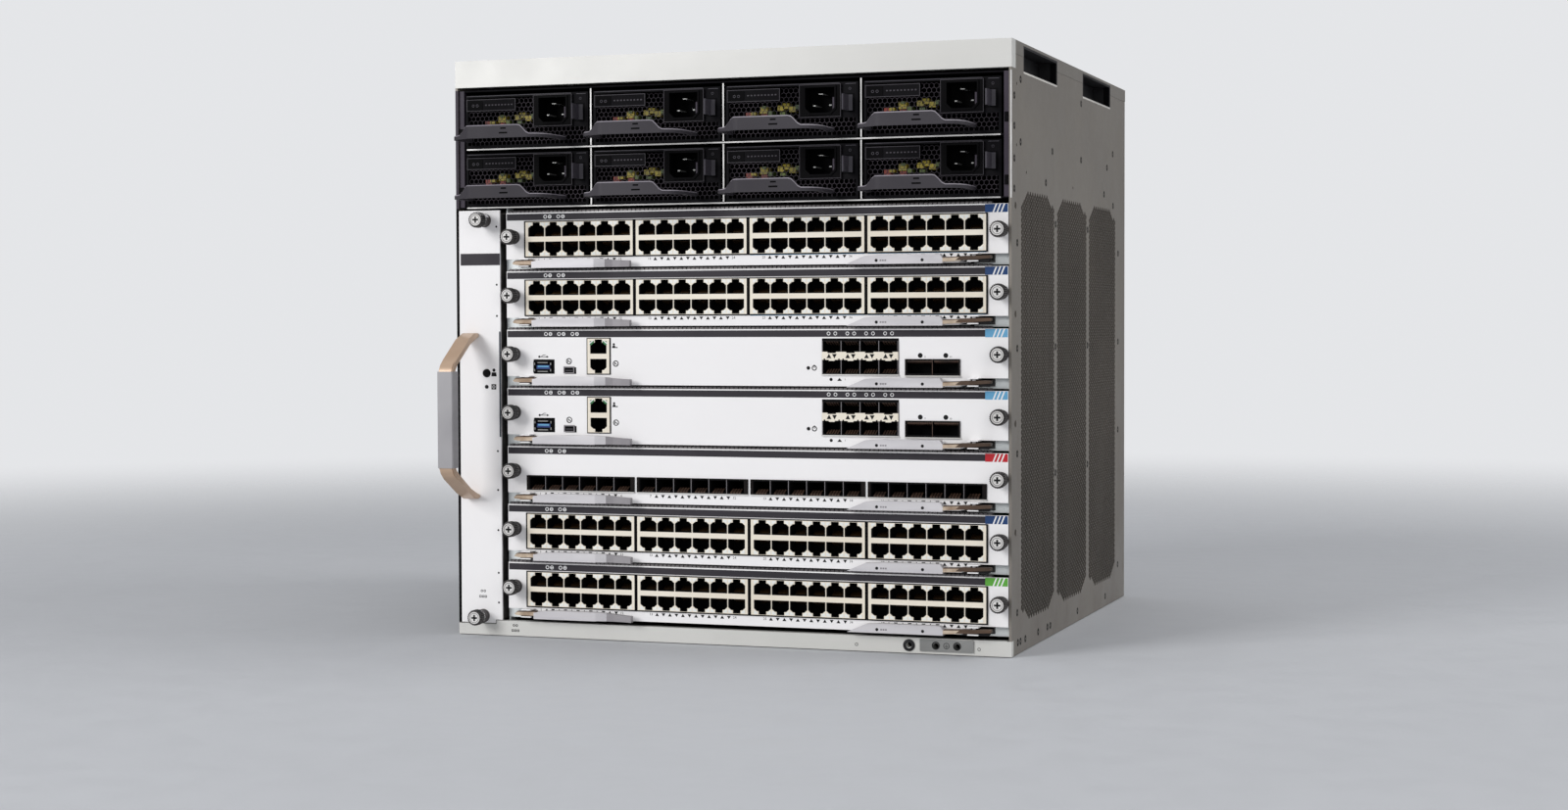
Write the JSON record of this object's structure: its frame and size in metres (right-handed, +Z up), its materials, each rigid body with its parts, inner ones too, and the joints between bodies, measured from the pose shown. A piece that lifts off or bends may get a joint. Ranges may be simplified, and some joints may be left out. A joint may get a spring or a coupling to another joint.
{
  "type": "modular chassis switch",
  "caption": "Rack chassis with horizontal network cards, a vertical fan tray, and two rows of plug-in power supplies above them.",
  "frame": {"origin": "middle of the flat underside of the sheet-metal box", "axes": "+X to the right seen from the front, +Y from front to rear, +Z up"},
  "size_m": [0.4394, 0.461, 0.4423],
  "materials": {
    "side_paint": "textured warm grey powder coat",
    "bezel_paint": "satin silver white paint",
    "card_face": "satin silver white paint on steel",
    "circuit_board": "laminate with cream socket blocks",
    "lever_metal": "satin silver",
    "latch": "dark grey",
    "supply_case": "near black",
    "bare_metal": "bare bright metal",
    "bay_metal": "dark grey with bright cut edges",
    "cup_plastic": "black moulded",
    "handle_plastic": "light grey grip on tan legs",
    "button_plastic": "dark translucent"
  },
  "bodies": {
    "chassis": {"left_side_panel": "side_paint", "right_side_panel": "side_paint", "top_cover": "side_paint", "base_pan": "side_paint", "rear_panel": "side_paint", "top_bezel": "bezel_paint", "bottom_bezel": "bezel_paint", "ground_pad": "bare_metal", "power_bay_frame": "bay_metal", "fan_bay_wall": "bay_metal", "card_ledges": "bay_metal", "backplane": "circuit_board", "hand_hold_cups": "cup_plastic"},
    "line_card_1": {"line_card_1_tray": "card_face", "line_card_1_board": "circuit_board"},
    "line_card_1_left_lever": {"line_card_1_left_lever": "lever_metal"},
    "line_card_1_right_lever": {"line_card_1_right_lever": "lever_metal"},
    "line_card_2": {"line_card_2_tray": "card_face", "line_card_2_board": "circuit_board"},
    "line_card_2_left_lever": {"line_card_2_left_lever": "lever_metal"},
    "line_card_2_right_lever": {"line_card_2_right_lever": "lever_metal"},
    "supervisor_3": {"supervisor_3_tray": "card_face", "supervisor_3_board": "circuit_board"},
    "supervisor_3_left_lever": {"supervisor_3_left_lever": "lever_metal"},
    "supervisor_3_right_lever": {"supervisor_3_right_lever": "lever_metal"},
    "supervisor_4": {"supervisor_4_tray": "card_face", "supervisor_4_board": "circuit_board"},
    "supervisor_4_left_lever": {"supervisor_4_left_lever": "lever_metal"},
    "supervisor_4_right_lever": {"supervisor_4_right_lever": "lever_metal"},
    "line_card_5": {"line_card_5_tray": "card_face", "line_card_5_board": "circuit_board"},
    "line_card_5_left_lever": {"line_card_5_left_lever": "lever_metal"},
    "line_card_5_right_lever": {"line_card_5_right_lever": "lever_metal"},
    "line_card_6": {"line_card_6_tray": "card_face", "line_card_6_board": "circuit_board"},
    "line_card_6_left_lever": {"line_card_6_left_lever": "lever_metal"},
    "line_card_6_right_lever": {"line_card_6_right_lever": "lever_metal"},
    "line_card_7": {"line_card_7_tray": "card_face", "line_card_7_board": "circuit_board"},
    "line_card_7_left_lever": {"line_card_7_left_lever": "lever_metal"},
    "line_card_7_right_lever": {"line_card_7_right_lever": "lever_metal"},
    "power_supply_1": {"power_supply_1": "supply_case"},
    "power_supply_1_latch": {"power_supply_1_latch": "latch"},
    "power_supply_2": {"power_supply_2": "supply_case"},
    "power_supply_2_latch": {"power_supply_2_latch": "latch"},
    "power_supply_3": {"power_supply_3": "supply_case"},
    "power_supply_3_latch": {"power_supply_3_latch": "latch"},
    "power_supply_4": {"power_supply_4": "supply_case"},
    "power_supply_4_latch": {"power_supply_4_latch": "latch"},
    "power_supply_5": {"power_supply_5": "supply_case"},
    "power_supply_5_latch": {"power_supply_5_latch": "latch"},
    "power_supply_6": {"power_supply_6": "supply_case"},
    "power_supply_6_latch": {"power_supply_6_latch": "latch"},
    "power_supply_7": {"power_supply_7": "supply_case"},
    "power_supply_7_latch": {"power_supply_7_latch": "latch"},
    "power_supply_8": {"power_supply_8": "supply_case"},
    "power_supply_8_latch": {"power_supply_8_latch": "latch"},
    "fan_tray": {"fan_tray": "card_face", "fan_tray_handle": "handle_plastic"},
    "fan_tray_button": {"fan_tray_button": "button_plastic"}
  },
  "joints": [
    {"name": "line_card_1_slide", "type": "slide", "parent": "chassis", "child": "line_card_1", "axis": [0, -1, 0], "range_m": [0, 0.37]},
    {"name": "line_card_1_left_lever_hinge", "type": "hinge", "parent": "line_card_1", "child": "line_card_1_left_lever", "pos_m": [-0.1587, -0.212, 0.2867], "axis": [0, 0, -1], "range_deg": [0, 40]},
    {"name": "line_card_1_right_lever_hinge", "type": "hinge", "parent": "line_card_1", "child": "line_card_1_right_lever", "pos_m": [0.1933, -0.212, 0.2867], "axis": [0, 0, 1], "range_deg": [0, 40]},
    {"name": "line_card_2_slide", "type": "slide", "parent": "chassis", "child": "line_card_2", "axis": [0, -1, 0], "range_m": [0, 0.37]},
    {"name": "line_card_2_left_lever_hinge", "type": "hinge", "parent": "line_card_2", "child": "line_card_2_left_lever", "pos_m": [-0.1587, -0.212, 0.24205], "axis": [0, 0, -1], "range_deg": [0, 40]},
    {"name": "line_card_2_right_lever_hinge", "type": "hinge", "parent": "line_card_2", "child": "line_card_2_right_lever", "pos_m": [0.1933, -0.212, 0.24205], "axis": [0, 0, 1], "range_deg": [0, 40]},
    {"name": "supervisor_3_slide", "type": "slide", "parent": "chassis", "child": "supervisor_3", "axis": [0, -1, 0], "range_m": [0, 0.37]},
    {"name": "supervisor_3_left_lever_hinge", "type": "hinge", "parent": "supervisor_3", "child": "supervisor_3_left_lever", "pos_m": [-0.1587, -0.212, 0.1974], "axis": [0, 0, -1], "range_deg": [0, 40]},
    {"name": "supervisor_3_right_lever_hinge", "type": "hinge", "parent": "supervisor_3", "child": "supervisor_3_right_lever", "pos_m": [0.1933, -0.212, 0.1974], "axis": [0, 0, 1], "range_deg": [0, 40]},
    {"name": "supervisor_4_slide", "type": "slide", "parent": "chassis", "child": "supervisor_4", "axis": [0, -1, 0], "range_m": [0, 0.37]},
    {"name": "supervisor_4_left_lever_hinge", "type": "hinge", "parent": "supervisor_4", "child": "supervisor_4_left_lever", "pos_m": [-0.1587, -0.212, 0.15275], "axis": [0, 0, -1], "range_deg": [0, 40]},
    {"name": "supervisor_4_right_lever_hinge", "type": "hinge", "parent": "supervisor_4", "child": "supervisor_4_right_lever", "pos_m": [0.1933, -0.212, 0.15275], "axis": [0, 0, 1], "range_deg": [0, 40]},
    {"name": "line_card_5_slide", "type": "slide", "parent": "chassis", "child": "line_card_5", "axis": [0, -1, 0], "range_m": [0, 0.37]},
    {"name": "line_card_5_left_lever_hinge", "type": "hinge", "parent": "line_card_5", "child": "line_card_5_left_lever", "pos_m": [-0.1587, -0.212, 0.1081], "axis": [0, 0, -1], "range_deg": [0, 40]},
    {"name": "line_card_5_right_lever_hinge", "type": "hinge", "parent": "line_card_5", "child": "line_card_5_right_lever", "pos_m": [0.1933, -0.212, 0.1081], "axis": [0, 0, 1], "range_deg": [0, 40]},
    {"name": "line_card_6_slide", "type": "slide", "parent": "chassis", "child": "line_card_6", "axis": [0, -1, 0], "range_m": [0, 0.37]},
    {"name": "line_card_6_left_lever_hinge", "type": "hinge", "parent": "line_card_6", "child": "line_card_6_left_lever", "pos_m": [-0.1587, -0.212, 0.06345], "axis": [0, 0, -1], "range_deg": [0, 40]},
    {"name": "line_card_6_right_lever_hinge", "type": "hinge", "parent": "line_card_6", "child": "line_card_6_right_lever", "pos_m": [0.1933, -0.212, 0.06345], "axis": [0, 0, 1], "range_deg": [0, 40]},
    {"name": "line_card_7_slide", "type": "slide", "parent": "chassis", "child": "line_card_7", "axis": [0, -1, 0], "range_m": [0, 0.37]},
    {"name": "line_card_7_left_lever_hinge", "type": "hinge", "parent": "line_card_7", "child": "line_card_7_left_lever", "pos_m": [-0.1587, -0.212, 0.0188], "axis": [0, 0, -1], "range_deg": [0, 40]},
    {"name": "line_card_7_right_lever_hinge", "type": "hinge", "parent": "line_card_7", "child": "line_card_7_right_lever", "pos_m": [0.1933, -0.212, 0.0188], "axis": [0, 0, 1], "range_deg": [0, 40]},
    {"name": "power_supply_1_slide", "type": "slide", "parent": "chassis", "child": "power_supply_1", "axis": [0, -1, 0], "range_m": [0, 0.366]},
    {"name": "power_supply_1_latch_press", "type": "slide", "parent": "power_supply_1", "child": "power_supply_1_latch", "axis": [-1, 0, 0], "range_m": [0, 0.003], "stiffness_N_per_m": 600},
    {"name": "power_supply_2_slide", "type": "slide", "parent": "chassis", "child": "power_supply_2", "axis": [0, -1, 0], "range_m": [0, 0.366]},
    {"name": "power_supply_2_latch_press", "type": "slide", "parent": "power_supply_2", "child": "power_supply_2_latch", "axis": [-1, 0, 0], "range_m": [0, 0.003], "stiffness_N_per_m": 600},
    {"name": "power_supply_3_slide", "type": "slide", "parent": "chassis", "child": "power_supply_3", "axis": [0, -1, 0], "range_m": [0, 0.366]},
    {"name": "power_supply_3_latch_press", "type": "slide", "parent": "power_supply_3", "child": "power_supply_3_latch", "axis": [-1, 0, 0], "range_m": [0, 0.003], "stiffness_N_per_m": 600},
    {"name": "power_supply_4_slide", "type": "slide", "parent": "chassis", "child": "power_supply_4", "axis": [0, -1, 0], "range_m": [0, 0.366]},
    {"name": "power_supply_4_latch_press", "type": "slide", "parent": "power_supply_4", "child": "power_supply_4_latch", "axis": [-1, 0, 0], "range_m": [0, 0.003], "stiffness_N_per_m": 600},
    {"name": "power_supply_5_slide", "type": "slide", "parent": "chassis", "child": "power_supply_5", "axis": [0, -1, 0], "range_m": [0, 0.366]},
    {"name": "power_supply_5_latch_press", "type": "slide", "parent": "power_supply_5", "child": "power_supply_5_latch", "axis": [-1, 0, 0], "range_m": [0, 0.003], "stiffness_N_per_m": 600},
    {"name": "power_supply_6_slide", "type": "slide", "parent": "chassis", "child": "power_supply_6", "axis": [0, -1, 0], "range_m": [0, 0.366]},
    {"name": "power_supply_6_latch_press", "type": "slide", "parent": "power_supply_6", "child": "power_supply_6_latch", "axis": [-1, 0, 0], "range_m": [0, 0.003], "stiffness_N_per_m": 600},
    {"name": "power_supply_7_slide", "type": "slide", "parent": "chassis", "child": "power_supply_7", "axis": [0, -1, 0], "range_m": [0, 0.366]},
    {"name": "power_supply_7_latch_press", "type": "slide", "parent": "power_supply_7", "child": "power_supply_7_latch", "axis": [-1, 0, 0], "range_m": [0, 0.003], "stiffness_N_per_m": 600},
    {"name": "power_supply_8_slide", "type": "slide", "parent": "chassis", "child": "power_supply_8", "axis": [0, -1, 0], "range_m": [0, 0.366]},
    {"name": "power_supply_8_latch_press", "type": "slide", "parent": "power_supply_8", "child": "power_supply_8_latch", "axis": [-1, 0, 0], "range_m": [0, 0.003], "stiffness_N_per_m": 600},
    {"name": "fan_tray_slide", "type": "slide", "parent": "chassis", "child": "fan_tray", "axis": [0, -1, 0], "range_m": [0, 0.371]},
    {"name": "fan_tray_button_press", "type": "slide", "parent": "fan_tray", "child": "fan_tray_button", "axis": [0, 1, 0], "range_m": [0, 0.0015], "stiffness_N_per_m": 300}
  ]
}
